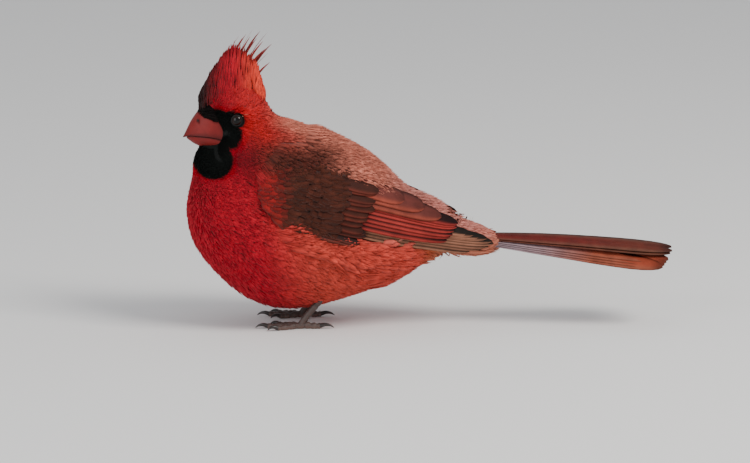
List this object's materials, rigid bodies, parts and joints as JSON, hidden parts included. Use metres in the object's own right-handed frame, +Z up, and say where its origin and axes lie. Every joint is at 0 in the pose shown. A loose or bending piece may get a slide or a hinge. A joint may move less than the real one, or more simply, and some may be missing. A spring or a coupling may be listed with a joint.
{
  "type": "northern cardinal",
  "caption": "Life-size still model of a male northern cardinal, fluffed up and standing on its toes, with raised crest, folded wings and a long straight tail.",
  "frame": {"origin": "on the floor, under the middle of the bird's bounding box", "axes": "+Z up, the bird faces -X with its tail towards +X, and its left side is at -Y"},
  "size_m": [0.21, 0.0598, 0.1275],
  "materials": {
    "plumage_red": "soft red body feathers",
    "crest_red": "bright red crest feathers",
    "mask_black": "velvety black face feathers",
    "wing_red_brown": "dusky red-brown flight feathers with brighter edges",
    "tail_red_brown": "dull red tail feathers",
    "bill_coral": "smooth coral horn",
    "eye_dark": "wet dark brown",
    "leg_brown": "scaled dull brown skin",
    "claw_dark": "dark horn"
  },
  "bodies": {
    "root": {"torso": "plumage_red", "neck": "plumage_red", "head": "plumage_red", "crest": "crest_red", "bill_upper": "bill_coral", "bill_lower": "bill_coral", "tail": "tail_red_brown", "wing_left": "wing_red_brown", "wing_right": "wing_red_brown", "eye_left": "eye_dark", "leg_left": "leg_brown", "foot_left": "leg_brown", "claw_inner_left": "claw_dark", "claw_middle_left": "claw_dark", "claw_outer_left": "claw_dark", "claw_hind_left": "claw_dark", "eye_right": "eye_dark", "leg_right": "leg_brown", "foot_right": "leg_brown", "claw_inner_right": "claw_dark", "claw_middle_right": "claw_dark", "claw_outer_right": "claw_dark", "claw_hind_right": "claw_dark"}
  },
  "joints": []
}
